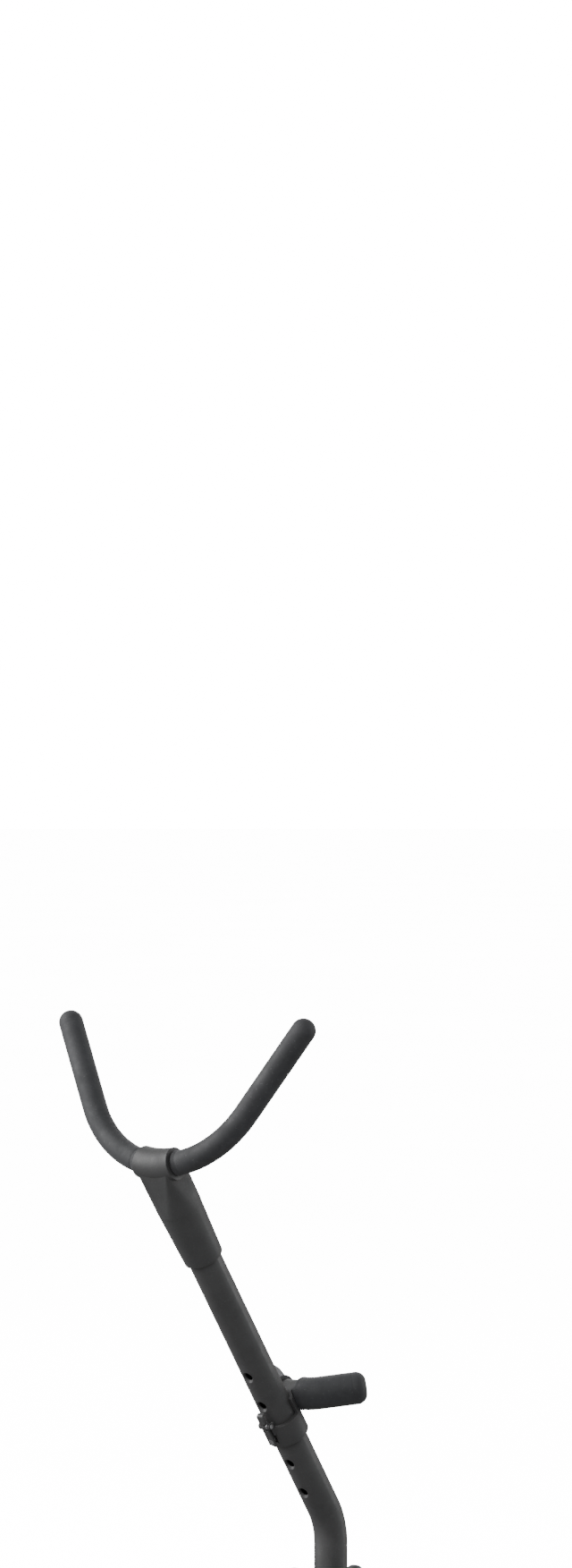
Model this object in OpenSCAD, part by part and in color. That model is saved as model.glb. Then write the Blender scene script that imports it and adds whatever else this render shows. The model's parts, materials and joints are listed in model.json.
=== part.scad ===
// Tenor saxophone stand: a leaning tube on a folding tripod, with a rubber-sleeved bell yoke at its top
// and a height-adjustable rubber-sleeved rest for the lower body. Millimetres, +Z up.
// The origin is on the floor under the upright foot of the column. The column leans towards -Y,
// and the saxophone stands on the +Y side of it.

/* [Column] */
// Outside diameter of the column tube
tube_d = 18; // [17:0.5:18]
// Wall thickness of the column tube
tube_wall = 1.5; // [1:0.25:2]
// Lean of the upper column from the vertical, in degrees
lean = 35; // [34:0.5:36]
// Height above the floor at which the column starts to bend
bend_z = 98.5; // [96:0.5:102]
// Radius of the bend, at the tube's axis
bend_r = 35; // [30:1:40]
// Length of the straight column above the bend
column_len = 198; // [194:1:202]

/* [Height stations] */
// Number of height holes down the front of the column
hole_count = 5; // [5:1:5]
// Distance between the height holes
hole_pitch = 20; // [20:1:21]
// Distance of the lowest hole from the top of the bend
hole_first = 17; // [15:0.5:18]
// Radius of a height hole
hole_r = 2.4; // [2.4:0.1:2.8]
// Depth of the countersink around a height hole
sink = 1.1; // [0.5:0.1:1.2]

/* [Bell yoke] */
// Radius of the yoke's arc, at the middle of the rod
yoke_r = 62; // [60:0.5:66]
// Half of the angle that the arc spans, before the arms run straight
yoke_half_angle = 58; // [55:1:62]
// Length of an arm's straight end, up to the middle of its round tip
yoke_arm = 53; // [46:1:56]
// Lean of the yoke's plane from the vertical, towards the saxophone, in degrees
yoke_lean = 16; // [14:0.5:18]
// Diameter of the rubber sleeve on the yoke
yoke_sleeve_d = 13; // [12:0.5:14]
// Diameter of the steel rod inside the yoke
yoke_rod_d = 7; // [6:0.5:8]

/* [Body rest] */
// Diameter of the rubber sleeve on the rest
rest_sleeve_d = 17.5; // [16:0.5:18]
// Diameter of the steel rod inside the rest
rest_rod_d = 8; // [7:0.5:8]
// Half of the bar's length, from corner to corner
rest_corner = 12; // [11:0.5:14]
// Angle of the corner, in degrees
rest_turn = 40; // [36:1:44]
// Length of an arm, from its corner to its round end
rest_arm = 30; // [28:0.5:34]
// Upward tilt of the arms, in degrees
rest_tilt = 12; // [8:1:14]

/* [Base] */
// Distance of the leg pivots from the column's axis
pivot_r = 20; // [20:0.5:21]
// Distance of each foot's middle from the column's axis
foot_r = 190; // [180:1:200]
// Diameter of a leg tube
leg_d = 13; // [12:0.5:13]
// Radius of a foot's flat sole
sole_r = 11; // [10:0.5:12]

/* [Hidden] */

$fn = 96;
coat = "#38393b";
moulded = "#3e3f42";
rubber = "#2b2d33";
steel = "#9a9da1";
fit = 0.02;  // radial room of a pressed or screwed fit
run = 0.06;  // radial room of a running fit
cut = 1;     // how far a cutter runs past a face
fine = 32;   // segments of a round that a hull blends

tube_r = tube_d / 2;
bore_r = tube_r - tube_wall;
bend_y = -bend_r * (1 - cos(lean));
bend_top = bend_z + bend_r * sin(lean);

// Neck that joins the yoke to the column, by distance along the straight column
neck_s = 172.5;
neck_r = 10.7;
neck_top_s = 206;
neck_top_r = 12;
saddle_r = 8.6;
saddle_angle = 10.5;
saddle_core = 9.9;
yoke_s = 233.5;
screw_s = 184;
screw_seat = 10.2;
screw_r = 1.75;
screw_head_r = 3.2;

// Bell yoke
yoke_centre = [
    0,
    bend_y - yoke_s * sin(lean) + yoke_r * sin(yoke_lean),
    bend_top + yoke_s * cos(lean) + yoke_r * cos(yoke_lean)
];
yoke_sleeve_r = yoke_sleeve_d / 2;
yoke_sleeve_start = saddle_angle + 0.4;
yoke_rod_short = 5;

// Body rest and its lock: along the column, and out from its axis
rest_station = 2;
station_s = hole_first + hole_pitch * rest_station;
slider_r = 11.4;
slider_low = station_s - 6;
slider_high = station_s + 7;
slot_low = station_s - 3.6;
slot_half = 2.6;
tab_r = 10.9;
rest_out = 16;
rest_s = station_s + 9.2;
rest_bar = 6;
rest_sleeve_r = rest_sleeve_d / 2;
rest_rod_short = 5;
boss_r = 7;
lock_out = 12.2;
lock_s = station_s + 9.5;
lock_pin_r = 1.6;
lock_pin_drop = 9.9;
lock_pin_tip = tube_r + 0.15;
strap_half = 2;
strap_t = 1.5;
strap_inner = 0.1;
strap_low = lock_pin_drop + lock_pin_r + 0.6;
strap_high = 8;
strap_toe = 1.2;
lock_ear_gap = 2.5;
lock_ear_t = 1.2;
lock_ear_r = 1.8;
lock_axle_r = 0.9;
barrel_r = 1.9;
coil_r = 1.55;
coil_wire_r = 0.25;
coil_start = 0.75;
coil_turns = 3;

// Hub
hub_bottom = 56;
hub_seat = 60;
hub_top = 82.4;
hub_r = 13;
hub_low_r = 12.5;
insert_len = 14;
hub_screw_r = 2.5;

// Legs: each leg's own +X runs from its pivot down to its foot
leg_names = ["rear", "left", "right"];
leg_directions = [90, 210, 330];
pivot_z = 78;
foot_z = 9;
leg_slope = atan((pivot_z - foot_z) / (foot_r - pivot_r));
leg_len = norm([foot_r - pivot_r, pivot_z - foot_z]);
leg_r = leg_d / 2;
leg_bore_r = leg_r - 1.5;
leg_start = 14;
leg_end = leg_len - 6;
knuckle_r = 6.2;
knuckle_half = 4;
knuckle_round = 3.2;
ear_r = 4.5;
ear_gap = 4.7;
ear_t = 3;
pin_r = 1.5;
washer_t = 0.6;
foot_sleeve_r = 8.4;

// ---- Placing and shared shapes ----

// On the straight column: +Z along it, +Y towards the saxophone
module on_column(s = 0) {
    translate([0, bend_y, bend_top]) rotate([lean, 0, 0]) translate([0, 0, s]) children();
}

// In the yoke's plane: +Z up the plane, the arc's centre at the origin
module on_yoke() {
    translate(yoke_centre) rotate([-yoke_lean, 0, 0]) children();
}

// On the rest: +X along its bar, +Y towards the ends of its arms
module on_rest() {
    on_column(rest_s) translate([0, rest_out, 0]) rotate([rest_tilt - lean, 0, 0]) children();
}

// At the lock's pivot: +Y away from the column, +Z up the column
module on_lock() {
    on_column(lock_s) translate([0, -lock_out, 0]) mirror([0, 1, 0]) children();
}

// At a leg's pivot: +X away from the column, +Y across the leg, +Z up
module at_pivot(direction) {
    rotate(direction) translate([pivot_r, 0, pivot_z]) children();
}

// Along a leg: +X down the leg
module on_leg(direction) {
    at_pivot(direction) rotate([0, leg_slope, 0]) children();
}

module mirrored() {
    mirror([1, 0, 0]) children();
}

module both_sides() {
    children();
    mirrored() children();
}

// A cylinder along +X from start
module rod_x(r, h, start = 0) {
    translate([start, 0, 0]) rotate([0, 90, 0]) cylinder(r = r, h = h);
}

// A cylinder along Y, centred
module pin_y(r, h) {
    rotate([90, 0, 0]) cylinder(r = r, h = h, center = true);
}

// Core that makes one solid of a bend of radius r and the straight bar that leaves it along +Z
module joint_core(r) {
    translate([0, 0, -0.5]) cylinder(r = 0.85 * r, h = 1);
}

// A flat outline drawn as [Y, Z], centred on X and width across
module side_plate(width) {
    rotate([90, 0, 90]) linear_extrude(width, center = true) children();
}

// A bar along +Z that ends in a face with a rounded edge
module rounded_end_bar(r, len, edge) {
    rotate_extrude() {
        square([r, len - edge]);
        square([r - edge, len]);
        translate([r - edge, len - edge]) intersection() {
            circle(r = edge);
            square(edge);
        }
    }
}

// ---- Column ----

// The column's path as a solid bar, with both ends run out by extra. A hair-thin band covers the joint
// of the bend and the straight column.
module column_bar(r, extra = 0) {
    translate([0, 0, hub_seat - extra]) cylinder(r = r, h = bend_z - hub_seat + extra);
    translate([0, -bend_r, bend_z]) rotate([90, 0, 90])
        rotate_extrude(angle = lean) translate([bend_r, 0]) circle(r = r);
    on_column() cylinder(r = r, h = column_len + extra);
    on_column(-0.5) cylinder(r = r + 0.02, h = 1);
}

module column_tube() {
    color(coat) difference() {
        column_bar(tube_r);
        column_bar(bore_r, cut);
        for (i = [0 : hole_count - 1])
            on_column(hole_first + i * hole_pitch) rotate([90, 0, 0]) {
                cylinder(r = hole_r, h = tube_d);
                translate([0, 0, tube_r - sink - 0.2])
                    cylinder(r1 = hole_r - 0.2, r2 = hole_r + sink + cut, h = sink + 0.2 + cut);
            }
        on_column(screw_s) rotate([-90, 0, 0]) cylinder(r = screw_r + fit, h = tube_d);
    }
}

// Threaded plug pressed into the foot of the column
module column_insert() {
    color(steel) translate([0, 0, hub_seat]) difference() {
        cylinder(r = bore_r - fit, h = insert_len);
        translate([0, 0, -cut]) cylinder(r = hub_screw_r + fit, h = insert_len + 2 * cut);
    }
}

// ---- Bell yoke ----

// A round bar along the yoke's arc between two angles, counted from its lowest point
module yoke_arc(r, from, to) {
    rotate([90, 0, 0]) rotate_extrude(angle = to - from, start = 270 + from)
        translate([yoke_r, 0]) circle(r = r);
}

// At the end of the yoke's arc, with +Z along the straight arm
module on_yoke_arm() {
    translate([yoke_r * sin(yoke_half_angle), 0, -yoke_r * cos(yoke_half_angle)])
        rotate([0, 90 - yoke_half_angle, 0]) children();
}

module yoke_rod() {
    rod_r = yoke_rod_d / 2;
    color(steel) on_yoke() {
        yoke_arc(rod_r, -yoke_half_angle, yoke_half_angle);
        both_sides() on_yoke_arm() {
            cylinder(r = rod_r, h = yoke_arm - yoke_rod_short);
            joint_core(rod_r);
        }
    }
}

module yoke_sleeve() {
    hollow_r = yoke_rod_d / 2 + fit;
    color(rubber) on_yoke() difference() {
        union() {
            yoke_arc(yoke_sleeve_r, yoke_sleeve_start, yoke_half_angle);
            on_yoke_arm() cylinder(r = yoke_sleeve_r, h = yoke_arm);
            on_yoke_arm() joint_core(yoke_sleeve_r);
            on_yoke_arm() translate([0, 0, yoke_arm]) sphere(r = yoke_sleeve_r);
        }
        yoke_arc(hollow_r, yoke_sleeve_start - cut, yoke_half_angle);
        on_yoke_arm() cylinder(r = hollow_r, h = yoke_arm - yoke_rod_short);
    }
}

module yoke_sleeve_left() {
    mirrored() yoke_sleeve();
}

module yoke_sleeve_right() {
    yoke_sleeve();
}

// Moulded socket that grips the column below and the yoke's rod above
module yoke_neck() {
    color(moulded) difference() {
        union() {
            on_column(neck_s) cylinder(r1 = neck_r, r2 = neck_top_r, h = neck_top_s - neck_s);
            hull() {
                on_column(neck_top_s - 0.5) cylinder(r = neck_top_r + 0.06, h = 1, $fn = 2 * fine);
                on_yoke() translate([0, 0, -yoke_r]) rod_x(saddle_r - 0.8, 2 * saddle_core, -saddle_core, $fn = fine);
            }
            on_yoke() yoke_arc(saddle_r, -saddle_angle, saddle_angle);
        }
        on_column(neck_s - cut) cylinder(r = tube_r + fit, h = column_len - neck_s + cut + fit);
        on_yoke() yoke_arc(yoke_rod_d / 2 + fit, -saddle_angle - 1, saddle_angle + 1);
        on_column(screw_s) rotate([-90, 0, 0]) cylinder(r = screw_r + fit, h = tube_d);
        on_column(screw_s) translate([0, screw_seat, 0]) rotate([-90, 0, 0])
            cylinder(r = screw_head_r + 0.3, h = tube_d);
    }
}

module neck_screw() {
    shank = 6;
    head = 1.6;
    color(steel) on_column(screw_s) translate([0, screw_seat, 0]) rotate([-90, 0, 0]) difference() {
        union() {
            translate([0, 0, -shank]) cylinder(r = screw_r, h = shank);
            cylinder(r = screw_head_r, h = head / 2);
            translate([0, 0, head / 2]) cylinder(r1 = screw_head_r, r2 = screw_head_r - 0.8, h = head / 2);
        }
        for (turn = [0, 90])
            rotate(turn) translate([-1.8, -0.4, head - 1]) cube([3.6, 0.8, 2]);
    }
}

// ---- Body rest ----

// At the rest's corner, with +Z along the arm
module on_rest_arm() {
    translate([rest_corner, 0, 0]) rotate([0, 0, rest_turn]) rotate([0, 90, 0]) children();
}

module rest_rod() {
    rod_r = rest_rod_d / 2;
    color(steel) on_rest() {
        rod_x(rod_r, 2 * rest_corner, -rest_corner);
        both_sides() on_rest_arm() {
            sphere(r = rod_r + 0.05);
            cylinder(r = rod_r, h = rest_arm - rest_rod_short);
        }
    }
}

module rest_sleeve() {
    hollow_r = rest_rod_d / 2 + fit;
    color(rubber) on_rest() difference() {
        union() {
            rod_x(rest_sleeve_r, rest_corner - rest_bar + cut, rest_bar - cut);
            on_rest_arm() {
                sphere(r = rest_sleeve_r + 0.2);
                rounded_end_bar(rest_sleeve_r, rest_arm, 5.5);
            }
        }
        rod_x(4 * rest_sleeve_r, rest_sleeve_d, rest_bar - rest_sleeve_d);
        rod_x(hollow_r, rest_corner, 0);
        on_rest_arm() {
            sphere(r = hollow_r + 0.1);
            cylinder(r = hollow_r, h = rest_arm - rest_rod_short + fit);
        }
    }
}

module rest_sleeve_left() {
    mirrored() rest_sleeve();
}

module rest_sleeve_right() {
    rest_sleeve();
}

// Collar that slides on the column, with the boss that holds the rest's bar and the lock's two ears
module rest_slider() {
    boss_half = rest_bar - 0.3;
    color(moulded) difference() {
        union() {
            on_column(slider_low) cylinder(r = slider_r, h = slider_high - slider_low);
            on_column(slider_high - cut) intersection() {
                cylinder(r = tab_r, h = rest_s + boss_r - slider_high + cut);
                translate([-tab_r, 3, 0]) cube([2 * tab_r, tab_r, hole_pitch]);
            }
            on_column() side_plate(2 * boss_half) polygon([
                [tube_r, slider_high - 3], [slider_r, slider_high - 3], [rest_out + 4, rest_s - 5.5],
                [rest_out, rest_s + boss_r], [tube_r, rest_s + boss_r]
            ]);
            on_rest() rod_x(boss_r, 2 * boss_half, -boss_half);
            on_lock() both_sides() lock_ear();
        }
        on_column(slider_low - cut) cylinder(r = tube_r + run, h = 2 * hole_pitch);
        on_column(slot_low) translate([-slot_half, -2 * slider_r, 0])
            cube([2 * slot_half, 2 * slider_r, hole_pitch]);
        on_rest() rod_x(rest_rod_d / 2 + fit, 4 * boss_r, -2 * boss_r);
        on_rest() both_sides() rod_x(rest_sleeve_r + 0.3, 2 * boss_r, rest_bar - 0.1);
        on_lock() rod_x(lock_axle_r + fit, 6 * lock_ear_gap, -3 * lock_ear_gap);
    }
}

module lock_ear() {
    foot = lock_out - 9.6;
    rod_x(lock_ear_r, lock_ear_t, lock_ear_gap);
    translate([lock_ear_gap, -foot, -6.5]) cube([lock_ear_t, foot, 6.5 + lock_ear_r / 2]);
}

// ---- Lock ----

// Rocker: its lower end carries the pin, and pressing its upper end draws the pin out
module lock_lever() {
    room = 2.1;
    color(coat) on_lock() difference() {
        union() {
            side_plate(2 * strap_half) {
                translate([strap_inner, -strap_low]) square([strap_t, strap_low + strap_high - strap_t]);
                translate([strap_inner - strap_toe, strap_high - strap_t]) square([strap_toe, strap_t]);
                translate([strap_inner, strap_high - strap_t]) intersection() {
                    circle(r = strap_t);
                    square(strap_t);
                }
            }
            rod_x(barrel_r, lock_ear_gap + 0.2, 0.1 - lock_ear_gap);
        }
        rod_x(lock_axle_r + run, 4 * lock_ear_gap, -2 * lock_ear_gap);
        translate([coil_start - 0.4, -room, -room]) cube([lock_ear_gap, 2 * room, 2 * room]);
        translate([0, 0, -lock_pin_drop]) pin_y(lock_pin_r + fit, tube_d);
    }
}

module lock_pin() {
    back = strap_inner + strap_t;
    tip = lock_pin_tip - lock_out;
    color(steel) on_lock() translate([0, back, -lock_pin_drop]) rotate([90, 0, 0]) {
        cylinder(r = lock_pin_r, h = back - tip - 0.4);
        translate([0, 0, back - tip - 0.4]) cylinder(r1 = lock_pin_r, r2 = lock_pin_r - 0.4, h = 0.4);
    }
}

module lock_axle() {
    end = lock_ear_gap + lock_ear_t + fit;
    color(steel) on_lock() {
        rod_x(lock_axle_r, 2 * end, -end);
        both_sides() rod_x(1.3, 0.5, end);
    }
}

// Torsion spring on the axle, with one leg on the collar and one behind the upper end of the rocker
module lock_spring() {
    pitch = 2 * coil_wire_r - 0.04;
    reach = 6;
    rise = coil_r + strap_inner - coil_wire_r - 0.05;
    color(steel) on_lock() {
        translate([coil_start, 0, 0]) rotate([0, 90, 0]) rotate_extrude()
            for (i = [0 : coil_turns - 1]) translate([coil_r, i * pitch + coil_wire_r]) circle(r = coil_wire_r);
        translate([coil_start + coil_wire_r, -coil_r, 0]) rotate([-atan(rise / reach), 0, 0])
            cylinder(r = coil_wire_r, h = reach);
        translate([coil_start + (coil_turns - 1) * pitch + coil_wire_r, -coil_r, slider_high - lock_s + 0.05])
            cylinder(r = coil_wire_r, h = lock_s - slider_high);
    }
}

// ---- Hub ----

module hub() {
    color(moulded) difference() {
        union() {
            rotate_extrude() polygon([
                [0, hub_bottom], [hub_low_r - 1.5, hub_bottom], [hub_low_r, hub_bottom + 1.5],
                [hub_low_r, 64], [hub_r, 66], [hub_r, hub_top - 1], [hub_r - 1, hub_top], [0, hub_top]
            ]);
            for (direction = leg_directions, side = [-1, 1])
                at_pivot(direction) translate([0, side * (ear_gap + ear_t / 2), 0]) ear();
        }
        translate([0, 0, hub_seat]) cylinder(r = tube_r + fit, h = hub_top);
        translate([0, 0, hub_bottom - cut]) cylinder(r = hub_screw_r + 0.1, h = hub_top);
        for (direction = leg_directions) at_pivot(direction) pin_y(pin_r + fit, 4 * ear_gap);
    }
}

// One ear of a leg's clevis, with its web down the hub
module ear() {
    root = 10 - pivot_r;
    pin_y(ear_r, ear_t);
    rotate([90, 0, 0]) linear_extrude(ear_t, center = true) polygon([
        [root, ear_r], [0, ear_r], [0, -ear_r], [-4, -ear_r], [-8, -13], [root, -13]
    ]);
}

module hub_screw() {
    head = 3.6;
    color(steel) translate([0, 0, hub_bottom]) difference() {
        union() {
            cylinder(r = hub_screw_r, h = 16);
            translate([0, 0, -head]) cylinder(r = 4.6, h = head);
        }
        translate([0, 0, -head - cut]) cylinder(r = 2.3, h = 2 + cut, $fn = 6);
    }
}

// ---- Legs ----

module leg_pivot_pins() {
    end = ear_gap + ear_t + fit;
    color(steel) for (direction = leg_directions) at_pivot(direction) {
        pin_y(pin_r, 2 * end);
        for (turn = [-90, 90]) rotate([turn, 0, 0]) translate([0, 0, end]) {
            cylinder(r = 2.7, h = 0.6);
            translate([0, 0, 0.6]) cylinder(r1 = 2.7, r2 = 1.7, h = 0.6);
        }
    }
}

// Friction washers between each leg and the ears of its clevis
module leg_washers() {
    gap = ear_gap - knuckle_half;
    color(steel) for (direction = leg_directions, side = [-1, 1])
        at_pivot(direction) translate([0, side * (knuckle_half + gap / 2), 0]) difference() {
            pin_y(3.8, washer_t);
            pin_y(pin_r + run, 2 * washer_t);
        }
}

// Rounded knuckle on the pivot, a heel that stops on the hub, and a spigot inside the leg tube
module leg_head(direction) {
    flat = knuckle_half - knuckle_round;
    core = knuckle_r - knuckle_round;
    heel = 0.05;
    color(moulded) difference() {
        union() {
            at_pivot(direction) rotate([90, 0, 0]) rotate_extrude() {
                translate([0, -knuckle_half]) square([core, 2 * knuckle_half]);
                translate([0, -flat]) square([knuckle_r, 2 * flat]);
                for (side = [-1, 1]) translate([core, side * flat]) intersection() {
                    circle(r = knuckle_round);
                    translate([0, -knuckle_round]) square([knuckle_round, 2 * knuckle_round]);
                }
            }
            at_pivot(direction) translate([hub_r - pivot_r + heel, -3, 1]) cube([5, 6, 3.2]);
            on_leg(direction) {
                hull() {
                    translate([2, -3.2, -4.2]) cube([1, 6.4, 8.4]);
                    translate([6, -3.9, -4.8]) cube([1, 7.8, 9.6]);
                    rod_x(leg_r, 1, leg_start - 2, $fn = fine);
                }
                rod_x(leg_r, 1, leg_start - 1);
                rod_x(leg_bore_r - fit, 16, leg_start);
            }
        }
        at_pivot(direction) pin_y(pin_r + run, 4 * ear_gap);
    }
}

module leg_tube(direction) {
    color(coat) on_leg(direction) difference() {
        rod_x(leg_r, leg_end - leg_start, leg_start);
        rod_x(leg_bore_r, leg_end, leg_start - cut);
    }
}

// Rubber foot pushed over the end of the leg, with a sole that lies flat on the floor
module foot(direction) {
    color(rubber) difference() {
        union() {
            on_leg(direction) rod_x(foot_sleeve_r, 20, leg_end - 16);
            hull() {
                on_leg(direction) rod_x(foot_sleeve_r - 0.4, 4, leg_end - 4, $fn = fine);
                rotate(direction) translate([foot_r, 0, 0]) {
                    cylinder(r = sole_r - 1, h = 1, $fn = 48);
                    translate([0, 0, 1]) cylinder(r = sole_r, h = 3, $fn = 48);
                }
            }
        }
        on_leg(direction) rod_x(leg_r + fit, 30, leg_end - 30 + fit);
    }
}

module leg_head_rear() { leg_head(leg_directions[0]); }
module leg_head_left() { leg_head(leg_directions[1]); }
module leg_head_right() { leg_head(leg_directions[2]); }
module leg_tube_rear() { leg_tube(leg_directions[0]); }
module leg_tube_left() { leg_tube(leg_directions[1]); }
module leg_tube_right() { leg_tube(leg_directions[2]); }
module foot_rear() { foot(leg_directions[0]); }
module foot_left() { foot(leg_directions[1]); }
module foot_right() { foot(leg_directions[2]); }

column_tube();
column_insert();
yoke_neck();
neck_screw();
yoke_rod();
yoke_sleeve_left();
yoke_sleeve_right();
rest_slider();
rest_rod();
rest_sleeve_left();
rest_sleeve_right();
lock_lever();
lock_pin();
lock_axle();
lock_spring();
hub();
hub_screw();
leg_pivot_pins();
leg_washers();
leg_head_rear();
leg_head_left();
leg_head_right();
leg_tube_rear();
leg_tube_left();
leg_tube_right();
foot_rear();
foot_left();
foot_right();
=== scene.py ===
import json
import math

import bmesh
import bpy
from mathutils import Matrix, Vector, noise


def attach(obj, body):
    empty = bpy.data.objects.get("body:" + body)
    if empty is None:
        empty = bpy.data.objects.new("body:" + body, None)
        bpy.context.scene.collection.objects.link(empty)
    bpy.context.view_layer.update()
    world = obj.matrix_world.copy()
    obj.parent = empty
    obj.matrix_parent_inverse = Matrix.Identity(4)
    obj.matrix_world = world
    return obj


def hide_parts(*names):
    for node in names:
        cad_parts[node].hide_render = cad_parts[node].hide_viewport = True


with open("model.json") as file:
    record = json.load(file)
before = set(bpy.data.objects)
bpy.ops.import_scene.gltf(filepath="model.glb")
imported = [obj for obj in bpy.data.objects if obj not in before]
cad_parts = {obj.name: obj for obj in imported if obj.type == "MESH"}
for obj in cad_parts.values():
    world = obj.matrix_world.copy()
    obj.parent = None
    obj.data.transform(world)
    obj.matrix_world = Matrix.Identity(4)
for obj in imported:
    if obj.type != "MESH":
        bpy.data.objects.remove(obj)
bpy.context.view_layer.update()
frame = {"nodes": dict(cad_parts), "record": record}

MM = 0.001
NODES = frame["nodes"]

# Design sizes, in millimetres and degrees, as in the CAD source
LEAN = math.radians(35)
BEND_R, BEND_Z = 35, 98.5
YOKE_S, YOKE_R, YOKE_LEAN = 233.5, 62, math.radians(16)
YOKE_START, YOKE_HALF, YOKE_ARM, YOKE_SLEEVE_R = math.radians(10.9), math.radians(58), 53, 6.5
YOKE_ROD_R = 3.5
REST_S, REST_OUT, REST_TILT = 66.2, 16, math.radians(12)
REST_BAR, REST_CORNER, REST_TURN, REST_ARM = 6, 12, math.radians(40), 30
REST_SLEEVE_R, REST_ROD_R, REST_EDGE, REST_BEND_R = 8.75, 4, 5.5, 16
PIVOT_R, PIVOT_Z, FOOT_R, FOOT_Z = 20, 78, 190, 9
LEG_R, FOOT_SLEEVE_R, SOLE_R = 6.5, 8.4, 11
LEG_SLOPE = math.atan((PIVOT_Z - FOOT_Z) / (FOOT_R - PIVOT_R))
LEG_END = math.hypot(FOOT_R - PIVOT_R, PIVOT_Z - FOOT_Z) - 6
LEGS = {"rear": 90, "left": 210, "right": 330}

# Details that only the rubber pieces have: room on the rods, grooves by distance from the leg's end,
# and the tread's rings by radius and half width
ROD_ROOM = 0.05
FOOT_GROOVES = (11.6, 9.4, 7.2)
TREAD_DEPTH, TREAD_RINGS = 0.55, ((3.2, 1.0), (6.2, 1.0), (8.9, 0.8))

BEND_Y = -BEND_R * (1 - math.cos(LEAN))
BEND_TOP = BEND_Z + BEND_R * math.sin(LEAN)


def shift(x, y, z):
    return Matrix.Translation((x, y, z))


def turn(angle, axis):
    return Matrix.Rotation(angle, 4, axis)


def on_column(s):
    return shift(0, BEND_Y, BEND_TOP) @ turn(LEAN, "X") @ shift(0, 0, s)


ON_YOKE = shift(
    0,
    BEND_Y - YOKE_S * math.sin(LEAN) + YOKE_R * math.sin(YOKE_LEAN),
    BEND_TOP + YOKE_S * math.cos(LEAN) + YOKE_R * math.cos(YOKE_LEAN),
) @ turn(-YOKE_LEAN, "X")
ON_REST = on_column(REST_S) @ shift(0, REST_OUT, 0) @ turn(REST_TILT - LEAN, "X")


def on_leg(direction):
    return turn(math.radians(direction), "Z") @ shift(PIVOT_R, 0, PIVOT_Z) @ turn(LEG_SLOPE, "Y")


# ---------------------------------------------------------------- meshes

def add_mesh(name, points, faces, place=Matrix.Identity(4)):
    """A smooth-shaded object from points in millimetres, put at place."""
    mesh = bpy.data.meshes.new(name)
    mesh.from_pydata([(place @ Vector(p)) * MM for p in points], [], faces)
    mesh.validate()
    bm = bmesh.new()
    bm.from_mesh(mesh)
    bmesh.ops.recalc_face_normals(bm, faces=bm.faces)
    bm.to_mesh(mesh)
    bm.free()
    mesh.shade_smooth()
    obj = bpy.data.objects.new(name, mesh)
    bpy.context.scene.collection.objects.link(obj)
    return obj


def smoothstep(lo, hi, x):
    t = min(max((x - lo) / (hi - lo), 0), 1)
    return t * t * (3 - 2 * t)


def bump_at(x, centre, half):
    """A smooth hump of height 1 and the given half width."""
    t = abs(x - centre) / half
    return 0 if t >= 1 else (1 - t * t) ** 2


def sleeve(name, path, place, side, radius_at, bore, end_profile, around=64):
    """A rubber sleeve swept along a planar path, open at its first end and closed at its last.

    path is a list of (point, tangent, distance); side is the unit vector across the path's plane.
    radius_at(distance, angle) gives the surface. end_profile lists how far past the path each ring
    of the closed end lies, and its share of the radius there."""
    mouth_depth = 4
    rings = []

    def ring(centre, tangent, radius):
        across = side.cross(tangent)
        rings.append([
            centre + (across * math.cos(a) + side * math.sin(a)) * (radius(a) if callable(radius) else radius)
            for a in (2 * math.pi * k / around for k in range(around))
        ])

    first, start_tangent, _ = path[0]
    lip = radius_at(path[0][2], 0)
    for depth, radius in ((mouth_depth, bore), (0.5, bore), (0.1, bore + 0.15), (0, bore + 0.5),
                          (0, lip - 0.75), (0.1, lip - 0.35)):
        ring(first + start_tangent * depth, start_tangent, radius)
    for centre, tangent, s in path[1:]:
        ring(centre, tangent, lambda a, s=s: radius_at(s, a))
    last, end_tangent, s_end = path[-1]
    for ahead, share in end_profile:
        ring(last + end_tangent * ahead, end_tangent, lambda a, k=share: radius_at(s_end, a) * k)
    points = [p for r in rings for p in r]
    faces = []
    for i in range(len(rings) - 1):
        for k in range(around):
            n = (k + 1) % around
            faces.append((i * around + k, i * around + n, (i + 1) * around + n, (i + 1) * around + k))
    tail = len(points)
    points.append(last + end_tangent * end_profile[-1][0])
    points.append(first + start_tangent * mouth_depth)
    top = (len(rings) - 1) * around
    for k in range(around):
        n = (k + 1) % around
        faces.append((top + k, top + n, tail))
        faces.append((n, k, tail + 1))
    return add_mesh(name, points, faces, place)


def path_through(steps):
    """Points (point, tangent, distance) along joined stretches.

    A step is (length, count, at), where at(share) gives the point and tangent at a share of it."""
    path, s0 = [], 0.0
    for length, count, at in steps:
        for i in range(count + 1):
            if path and i == 0:
                continue
            point, tangent = at(i / count)
            path.append((point, tangent, s0 + length * i / count))
        s0 += length
    return path


def rough_at(s, angle, seed, scale=0.35):
    """Slow unevenness of a hand-fitted rubber sleeve, about -1 to 1."""
    return noise.noise(Vector((math.cos(angle) * 1.3 + seed, math.sin(angle) * 1.3, s * scale)))


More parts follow.
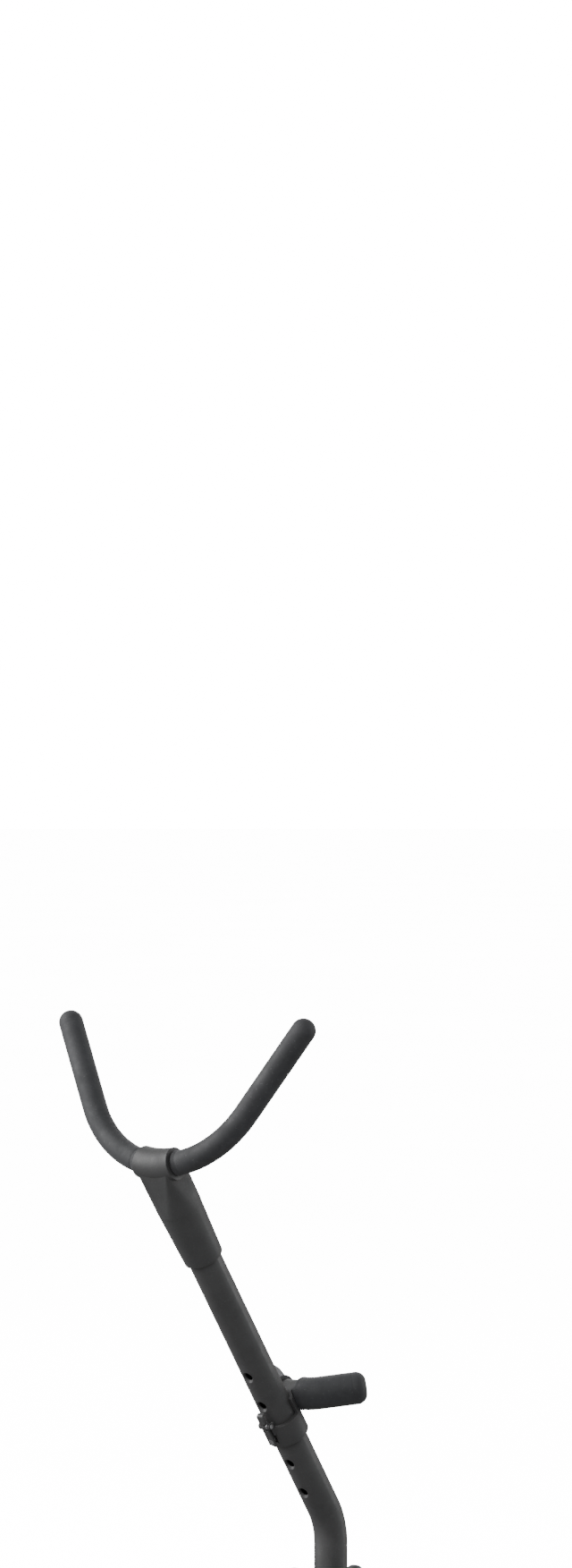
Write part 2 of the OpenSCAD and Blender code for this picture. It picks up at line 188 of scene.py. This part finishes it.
def yoke_sleeve(name, sign, seed):
    """Sleeve from the neck round the yoke's arc and along its straight arm, to a domed cap."""
    arc_len = YOKE_R * (YOKE_HALF - YOKE_START)

    def arc(t):
        a = YOKE_START + (YOKE_HALF - YOKE_START) * t
        return (Vector((sign * YOKE_R * math.sin(a), 0, -YOKE_R * math.cos(a))),
                Vector((sign * math.cos(a), 0, math.sin(a))))

    elbow, direction = arc(1)

    def arm(t):
        return elbow + direction * YOKE_ARM * t, direction

    def radius_at(s, angle):
        r = YOKE_SLEEVE_R
        # Rolled mouth with a groove behind it
        r += 0.28 * bump_at(s, 1.3, 1.3) - 0.22 * bump_at(s, 3.2, 0.9)
        r += 0.035 * rough_at(s, angle, seed)
        # Faint folds on the inside of the bend
        inside = max(0, math.cos(angle)) ** 3
        fold = smoothstep(4, 14, s) * (1 - smoothstep(arc_len - 6, arc_len + 8, s))
        r += 0.035 * inside * fold * math.sin(s * 1.55 + 0.8 * math.sin(s * 0.37 + seed))
        # Line where the cap is moulded on
        r -= 0.12 * bump_at(s, arc_len + YOKE_ARM - 3.0, 0.55)
        return r

    path = path_through([(arc_len, 100, arc), (YOKE_ARM, 90, arm)])
    dome_rings = 16
    dome = [(YOKE_SLEEVE_R * math.sin(a), math.cos(a))
            for a in (math.pi / 2 * k / dome_rings for k in range(1, dome_rings))]
    return sleeve(name, path, ON_YOKE, Vector((0, 1, 0)), radius_at, YOKE_ROD_R + ROD_ROOM,
                  dome + [(YOKE_SLEEVE_R, 0.012)])


def rest_sleeve(name, sign, seed):
    """Sleeve from beside the collar round the rest's corner and along its arm, to a flat rounded end."""
    tangent_len = REST_BEND_R * math.tan(REST_TURN / 2)
    lead = REST_CORNER - tangent_len - REST_BAR
    arc_len = REST_BEND_R * REST_TURN
    start = Vector((sign * REST_BAR, 0, 0))
    bend_start = Vector((sign * (REST_CORNER - tangent_len), 0, 0))

    def bar(t):
        return start.lerp(bend_start, t), Vector((sign, 0, 0))

    def arc(t):
        a = REST_TURN * t
        return (bend_start + Vector((sign * math.sin(a), 1 - math.cos(a), 0)) * REST_BEND_R,
                Vector((sign * math.cos(a), math.sin(a), 0)))

    elbow, direction = arc(1)
    arm_len = REST_ARM - tangent_len - REST_EDGE

    def arm(t):
        return elbow + direction * arm_len * t, direction

    def radius_at(s, angle):
        r = REST_SLEEVE_R
        r += 0.25 * bump_at(s, 0.9, 0.9)                                # rolled mouth
        r += 0.05 * rough_at(s, angle, seed)
        # Folds on the inside of the corner
        inside = max(0, math.cos(angle)) ** 3
        fold = smoothstep(1.5, 5, s) * (1 - smoothstep(lead + arc_len, lead + arc_len + 7, s))
        r += 0.06 * inside * fold * math.sin(s * 1.9 + seed)
        # Line where the end is moulded on
        r -= 0.12 * bump_at(s, lead + arc_len + arm_len - 1.5, 0.5)
        return r

    path = path_through([(lead, 3, bar), (arc_len, 40, arc), (arm_len, 60, arm)])
    edge_rings, face_rings = 14, 5
    edge = [(REST_EDGE * math.sin(a), 1 - REST_EDGE / REST_SLEEVE_R * (1 - math.cos(a)))
            for a in (math.pi / 2 * k / edge_rings for k in range(1, edge_rings + 1))]
    flat = edge[-1][1]
    face = [(REST_EDGE + 0.02 * k, flat * (1 - k / face_rings)) for k in range(1, face_rings)]
    return sleeve(name, path, ON_REST, Vector((0, 0, 1)), radius_at, REST_ROD_R + ROD_ROOM, edge + face)


def cone_solid(bm, place, r1, r2, start, end, segments=96):
    """A solid of revolution along +X of place, from start to end."""
    place = place @ shift((start + end) / 2, 0, 0) @ turn(math.pi / 2, "Y")
    bmesh.ops.create_cone(bm, cap_ends=True, segments=segments, radius1=r1 * MM, radius2=r2 * MM,
                          depth=(end - start) * MM,
                          matrix=Matrix.Translation(place.translation * MM) @ place.to_3x3().to_4x4())


def apply_modifier(obj, kind, **settings):
    modifier = obj.modifiers.new(kind, kind)
    for key, value in settings.items():
        setattr(modifier, key, value)
    dg = bpy.context.evaluated_depsgraph_get()
    mesh = bpy.data.meshes.new_from_object(obj.evaluated_get(dg))
    obj.modifiers.clear()
    obj.data = mesh


def foot(name, direction):
    """Moulded rubber foot: a collar on the leg, a heel that blends into a round sole, grooves and a tread."""
    collar_from, collar_to = LEG_END - 16, LEG_END + 3
    heel_trim = 0.3
    sole_edge, sole_top = 1, 4
    leg = on_leg(direction)
    sole = turn(math.radians(direction), "Z") @ shift(FOOT_R, 0, 0) @ turn(-math.pi / 2, "Y")
    bm = bmesh.new()
    cone_solid(bm, leg, FOOT_SLEEVE_R, FOOT_SLEEVE_R, collar_from, collar_to)
    collar = bpy.data.meshes.new(name)
    bm.to_mesh(collar)
    bm.clear()
    cone_solid(bm, leg, FOOT_SLEEVE_R - heel_trim, FOOT_SLEEVE_R - heel_trim, LEG_END - 5, LEG_END - 1)
    cone_solid(bm, sole, SOLE_R - 0.4, SOLE_R, 0, sole_edge)
    cone_solid(bm, sole, SOLE_R, SOLE_R, sole_edge, sole_top)
    bmesh.ops.convex_hull(bm, input=bm.verts)
    bmesh.ops.delete(bm, geom=[v for v in bm.verts if not v.link_faces], context="VERTS")
    bm.from_mesh(collar)
    mesh = bpy.data.meshes.new(name)
    bm.to_mesh(mesh)
    bm.free()
    obj = bpy.data.objects.new(name, mesh)
    bpy.context.scene.collection.objects.link(obj)
    apply_modifier(obj, "REMESH", mode="VOXEL", voxel_size=0.45 * MM, use_smooth_shade=True)
    apply_modifier(obj, "SMOOTH", factor=0.5, iterations=6)
    to_leg = leg.inverted()
    heel = turn(math.radians(direction), "Z") @ Vector((FOOT_R, 0, 0))
    mesh = obj.data
    normals = [v.normal.copy() for v in mesh.vertices]
    for v, n in zip(mesh.vertices, normals):
        p = v.co / MM
        q = to_leg @ p
        off = math.hypot(q.y, q.z)
        d = 0.0
        if off > LEG_R + 0.6 and p.z > 4.5:
            # Rolled mouth, then the grip grooves behind it
            d += 0.5 * bump_at(q.x, LEG_END - 15, 1.4)
            for groove in FOOT_GROOVES:
                d -= 0.38 * bump_at(q.x, LEG_END - groove, 0.8)
        # Parting groove above the sole
        d -= 0.45 * bump_at(p.z, 3.6, 0.8) * smoothstep(0.0, 0.5, 1 - abs(n.z))
        flat_r = math.hypot(p.x - heel.x, p.y - heel.y)
        p += n * d
        if p.z < 0.6 and n.z < -0.5:
            p.z = max(p.z, 0) + TREAD_DEPTH * max(bump_at(flat_r, r, half) for r, half in TREAD_RINGS)
        p.z = max(p.z, 0.0)
        v.co = p * MM
    mesh.shade_smooth()
    return obj


# ---------------------------------------------------------------- materials

class Graph:
    """Small helper that builds one material's nodes."""

    def __init__(self, name):
        self.material = bpy.data.materials.new(name)
        self.material.use_nodes = True
        self.nodes = self.material.node_tree.nodes
        self.links = self.material.node_tree.links
        self.shader = self.nodes["Principled BSDF"]
        self.place = self.add("ShaderNodeTexCoord").outputs["Object"]

    def add(self, kind, settings=None, **inputs):
        node = self.nodes.new(kind)
        for key, value in (settings or {}).items():
            setattr(node, key, value)
        for key, value in inputs.items():
            self.put(node.inputs[key.replace("_", " ")], value)
        return node

    def put(self, socket, value):
        if isinstance(value, bpy.types.NodeSocket):
            self.links.new(value, socket)
        else:
            socket.default_value = value

    def set(self, **inputs):
        for key, value in inputs.items():
            self.put(self.shader.inputs[key.replace("_", " ")], value)

    def noise(self, scale, detail=2.0, roughness=0.5, vector=None, distortion=0.0):
        node = self.add("ShaderNodeTexNoise", Scale=scale, Detail=detail, Roughness=roughness,
                        Distortion=distortion)
        self.links.new(vector or self.place, node.inputs["Vector"])
        return node.outputs["Fac"]

    def cells(self, scale, feature="F1", vector=None):
        node = self.add("ShaderNodeTexVoronoi", {"feature": feature}, Scale=scale)
        self.links.new(vector or self.place, node.inputs["Vector"])
        return node.outputs["Distance"]

    def math(self, operation, a, b=0.0):
        node = self.add("ShaderNodeMath", {"operation": operation})
        self.put(node.inputs[0], a)
        self.put(node.inputs[1], b)
        return node.outputs[0]

    def ramp(self, fac, *stops):
        """A colour ramp; stops are (position, colour or grey)."""
        node = self.add("ShaderNodeValToRGB", Fac=fac)
        elements = node.color_ramp.elements
        while len(elements) < len(stops):
            elements.new(0.5)
        for element, (position, colour) in zip(elements, stops):
            element.position = position
            element.color = (*colour, 1) if isinstance(colour, tuple) else (colour, colour, colour, 1)
        return node.outputs["Color"]

    def range(self, value, low, high, from_low=0.3, from_high=0.7):
        node = self.add("ShaderNodeMapRange", Value=value)
        node.inputs["From Min"].default_value = from_low
        node.inputs["From Max"].default_value = from_high
        node.inputs["To Min"].default_value = low
        node.inputs["To Max"].default_value = high
        return node.outputs["Result"]

    def mix(self, fac, a, b):
        node = self.add("ShaderNodeMix", {"data_type": "RGBA"})
        self.put(node.inputs["Factor"], fac)
        self.put(node.inputs[6], a)
        self.put(node.inputs[7], b)
        return node.outputs[2]

    def bump(self, height, distance, strength=1.0, normal=None):
        node = self.add("ShaderNodeBump", Strength=strength, Distance=distance, Height=height)
        if normal is not None:
            self.links.new(normal, node.inputs["Normal"])
        return node.outputs["Normal"]

    def rounded(self, radius):
        return self.add("ShaderNodeBevel", {"samples": 4}, Radius=radius).outputs["Normal"]

    def edge(self, radius, lo=0.93, hi=0.995):
        """1 on edges sharper than the radius, 0 on faces."""
        bevel = self.rounded(radius)
        plain = self.add("ShaderNodeNewGeometry").outputs["Normal"]
        dot = self.add("ShaderNodeVectorMath", {"operation": "DOT_PRODUCT"})
        self.links.new(bevel, dot.inputs[0])
        self.links.new(plain, dot.inputs[1])
        return self.range(dot.outputs["Value"], 1.0, 0.0, lo, hi)


def powder_coat(name):
    """Matt charcoal powder coat: fine grain, orange peel, faint handling marks, and edges painted paler in
    patches, partly rubbed wear and partly a painted highlight.
    """
    g = Graph(name)
    grain = g.noise(2600, 2, 0.6)
    peel = g.noise(520, 3, 0.55)
    patch = g.noise(34, 4, 0.6)
    mottle = g.noise(190, 3, 0.6)
    base = g.ramp(patch, (0.3, (0.0340, 0.0338, 0.0343)), (0.7, (0.0475, 0.0470, 0.0478)))
    base = g.mix(g.range(mottle, 0.0, 0.5), base, (0.056, 0.056, 0.057, 1))
    speck = g.range(g.noise(1500, 1, 0.5), 0.0, 0.55, 0.62, 0.75)
    base = g.mix(speck, base, (0.075, 0.076, 0.080, 1))
    # Edges painted paler in patches: partly rubbed wear, partly a painted highlight where the rounded edges
    # catch the light
    wear_and_highlight = g.math("MULTIPLY", g.edge(0.5 * MM), g.range(g.noise(260, 3), 0.15, 0.75, 0.35, 0.65))
    base = g.mix(wear_and_highlight, base, (0.115, 0.117, 0.122, 1))
    g.set(Base_Color=base, Specular_IOR_Level=0.42)
    scuff = g.noise(60, 6, 0.7, distortion=1.2)
    g.set(Roughness=g.range(scuff, 0.44, 0.60))
    height = g.math("ADD", g.math("MULTIPLY", grain, 0.35), peel)
    g.set(Normal=g.bump(height, 0.00011, 0.55, g.rounded(0.35 * MM)))
    return g.material


def moulded_plastic(name):
    """Glass-filled nylon with a spark-eroded texture; its edges are painted paler in patches, partly rubbed
    wear and partly a painted highlight.
    """
    g = Graph(name)
    grain = g.cells(2300, "SMOOTH_F1")
    cloud = g.noise(70, 4, 0.6)
    flow = g.noise(16, 3, 0.5, distortion=2.0)
    base = g.ramp(cloud, (0.3, (0.0350, 0.0350, 0.0358)), (0.7, (0.0445, 0.0445, 0.0455)))
    base = g.mix(g.range(flow, 0.0, 0.4), base, (0.049, 0.0492, 0.0502, 1))
    base = g.mix(g.range(g.noise(1300, 1), 0.0, 0.4, 0.6, 0.75), base, (0.070, 0.070, 0.072, 1))
    # Edges painted paler in patches: partly rubbed wear, partly a painted highlight where the rounded edges
    # catch the light
    wear_and_highlight = g.math("MULTIPLY", g.edge(0.6 * MM), g.range(g.noise(210, 3), 0.1, 0.6, 0.35, 0.65))
    base = g.mix(wear_and_highlight, base, (0.105, 0.107, 0.112, 1))
    g.set(Base_Color=base, Specular_IOR_Level=0.40)
    g.set(Roughness=g.range(g.noise(90, 5, 0.6), 0.50, 0.66))
    height = g.math("ADD", grain, g.math("MULTIPLY", g.noise(420, 2), 0.8))
    g.set(Normal=g.bump(height, 0.00009, 0.5, g.rounded(0.5 * MM)))
    return g.material


def rubber(name, colour=(0.0272, 0.0278, 0.0302), dust=0.5, rough=(0.60, 0.78)):
    """Charcoal rubber: fine pores with painted shade in their pits, a bloom of dust, lightly polished where
    it is handled.
    """
    g = Graph(name)
    pores = g.cells(1500)
    fine = g.noise(3200, 2, 0.7)
    cloud = g.noise(48, 5, 0.62)
    darker = tuple(c * 0.80 for c in colour)
    paler = tuple(c * 1.22 for c in colour)
    base = g.ramp(cloud, (0.28, darker), (0.72, paler))
    bloom = g.range(g.noise(150, 4, 0.65, distortion=0.6), 0.0, 0.30 * dust, 0.48, 0.75)
    base = g.mix(bloom, base, (0.082, 0.083, 0.086, 1))
    lint = g.range(g.noise(900, 1, 0.5), 0.0, 0.5 * dust, 0.66, 0.78)
    base = g.mix(lint, base, (0.13, 0.132, 0.138, 1))
    pits = g.range(pores, 0.0, 1.0, 0.05, 0.35)
    # Painted shade: the bottoms of the pores are darkened towards near black
    base = g.mix(g.range(pores, 0.35, 0.0, 0.04, 0.22), base, (0.010, 0.011, 0.014, 1))
    g.set(Base_Color=base, Specular_IOR_Level=0.36)
    g.set(Roughness=g.range(g.noise(110, 4, 0.6), rough[0], rough[1]))
    g.set(Sheen_Weight=0.10, Sheen_Roughness=0.45, Sheen_Tint=(0.85, 0.86, 0.9, 1))
    height = g.math("ADD", g.math("MULTIPLY", pits, 0.5), g.math("MULTIPLY", fine, 0.5))
    g.set(Normal=g.bump(height, 0.00010, 0.5))
    return g.material


def plain_steel(name, tint=(0.36, 0.362, 0.37), rough=(0.30, 0.48)):
    """Zinc-bright steel: turning marks, faint tarnish, duller in the grooves."""
    g = Graph(name)
    stretch = g.add("ShaderNodeMapping", Vector=g.place)
    stretch.inputs["Scale"].default_value = (1.0, 1.0, 9.0)
    lines = g.noise(900, 4, 0.7, stretch.outputs["Vector"])
    tarnish = g.noise(120, 5, 0.65)
    base = g.ramp(tarnish, (0.3, tuple(c * 0.72 for c in tint)), (0.7, tint))
    base = g.mix(g.range(lines, 0.0, 0.35), base, (0.22, 0.22, 0.225, 1))
    g.set(Base_Color=base, Metallic=1.0)
    g.set(Roughness=g.range(lines, rough[0], rough[1]))
    g.set(Normal=g.bump(lines, 0.00006, 0.4, g.rounded(0.2 * MM)))
    return g.material


COAT = powder_coat("powder_coat")
MOULDED = moulded_plastic("moulded_nylon")
SLEEVE = rubber("sleeve_rubber")
FOOT = rubber("foot_rubber", (0.022, 0.0222, 0.0235), 0.7, (0.66, 0.84))
STEEL = plain_steel("bright_steel")
SLOT_MATERIAL = {"coat": COAT, "moulded": MOULDED, "rubber": SLEEVE, "steel": STEEL}


def give(obj, material):
    obj.data.materials.clear()
    obj.data.materials.append(material)


for part in frame["record"]["subparts"]:
    give(NODES[part["node"]], SLOT_MATERIAL[part["material_slot"]])


# ---------------------------------------------------------------- rubber pieces

def fit_rubber(obj, body, node, material):
    give(obj, material)
    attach(obj, body)
    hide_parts(node)


for index, (word, sign) in enumerate((("left", -1), ("right", 1))):
    on_yoke = yoke_sleeve(f"yoke_rubber_{word}", sign, 3.1 + 5 * index)
    fit_rubber(on_yoke, "stand", f"yoke_sleeve_{word}", SLEEVE)
    on_rest = rest_sleeve(f"rest_rubber_{word}", sign, 8.7 + 5 * index)
    fit_rubber(on_rest, "rest", f"rest_sleeve_{word}", SLEEVE)
for word, direction in LEGS.items():
    fit_rubber(foot(f"foot_rubber_{word}", direction), f"leg_{word}", f"foot_{word}", FOOT)


# ---------------------------------------------------------------- stage, light, camera

def soft_white(name):
    """Matt white paper."""
    g = Graph(name)
    paper = g.ramp(g.noise(1.5, 2), (0.3, 0.80), (0.7, 0.83))
    g.set(Base_Color=paper, Roughness=1.0, Specular_IOR_Level=0.0)
    return g.material


FLOOR_R = 60
bm = bmesh.new()
bmesh.ops.create_circle(bm, cap_ends=True, segments=96, radius=FLOOR_R)
floor_mesh = bpy.data.meshes.new("floor")
bm.to_mesh(floor_mesh)
bm.free()
floor = bpy.data.objects.new("floor", floor_mesh)
bpy.context.scene.collection.objects.link(floor)
floor.data.materials.append(soft_white("studio_floor"))
floor.visible_diffuse = False
floor.visible_glossy = False

# Radiance that the view transform shows as white, and the share of light that the floor's paper returns
BACKDROP, PAPER = 17.0, 0.82
# Strength of the dim room around the stand, and the part of the floor's white that its own light gives
AMBIENT, FLOOR_SHARE = 0.42, 0.93
world = bpy.data.worlds.new("studio")
bpy.context.scene.world = world
world.use_nodes = True
wn, wl = world.node_tree.nodes, world.node_tree.links
wn.clear()
output = wn.new("ShaderNodeOutputWorld")
mixer = wn.new("ShaderNodeMixShader")
path_node = wn.new("ShaderNodeLightPath")
wl.new(path_node.outputs["Is Camera Ray"], mixer.inputs[0])
# A dim room lights the stand, and the camera sees white behind it
for socket, strength in ((1, AMBIENT), (2, BACKDROP)):
    background = wn.new("ShaderNodeBackground")
    background.inputs["Color"].default_value = (1, 1, 1, 1)
    background.inputs["Strength"].default_value = strength
    wl.new(background.outputs[0], mixer.inputs[socket])
wl.new(mixer.outputs[0], output.inputs["Surface"])

AIM = Vector((0, -0.05, 0.25))
CAMERA_AZIMUTH = math.radians(40)


def softbox(name, azimuth, height, distance, size, power):
    """An area light at an azimuth counted from the camera's side, aimed at the stand."""
    light = bpy.data.lights.new(name, "AREA")
    light.shape = "RECTANGLE"
    light.size, light.size_y = size
    light.energy = power
    a = CAMERA_AZIMUTH + math.radians(azimuth)
    obj = bpy.data.objects.new(name, light)
    obj.location = AIM + Vector((math.sin(a) * distance, -math.cos(a) * distance, height))
    obj.rotation_mode = "QUATERNION"
    obj.rotation_quaternion = (AIM - obj.location).to_track_quat("-Z", "Y")
    bpy.context.scene.collection.objects.link(obj)


softbox("key_left", -92, 0.9, 1.9, (0.7, 1.8), 70)
softbox("key_right", 108, 0.6, 1.9, (0.5, 1.8), 19)
softbox("front_fill", -10, 1.3, 2.6, (2.2, 1.4), 45)
softbox("back_wash", 175, 1.2, 2.2, (1.6, 1.2), 14)

# The floor's own light: it only lights the paper, and the stand still shades it
sun = bpy.data.lights.new("paper_light", "SUN")
sun.energy = FLOOR_SHARE * BACKDROP * math.pi / PAPER
sun.angle = math.radians(50)
sun_obj = bpy.data.objects.new("paper_light", sun)
sun_obj.rotation_euler = (math.radians(18), math.radians(-12), 0)
bpy.context.scene.collection.objects.link(sun_obj)
paper_only = bpy.data.collections.new("paper_only")
paper_only.objects.link(floor)
sun_obj.light_linking.receiver_collection = paper_only

# The camera stands 3 m away and looks level; its focal length is counted in pixels of the frame's height
SENSOR, FOCAL_PIXELS, FRAME_HEIGHT = 36, 6210, 1753
camera = bpy.data.cameras.new("camera")
camera.sensor_width = SENSOR
camera.lens = SENSOR * FOCAL_PIXELS / FRAME_HEIGHT
camera.clip_start, camera.clip_end = 0.1, 200
camera_obj = bpy.data.objects.new("camera", camera)
camera_obj.location = (1.90982, -2.31369, 0.508)
camera_obj.rotation_mode = "QUATERNION"
AHEAD = Vector((-math.sin(CAMERA_AZIMUTH), math.cos(CAMERA_AZIMUTH), 0))
camera_obj.rotation_quaternion = AHEAD.to_track_quat("-Z", "Y")
bpy.context.scene.collection.objects.link(camera_obj)
bpy.context.scene.camera = camera_obj
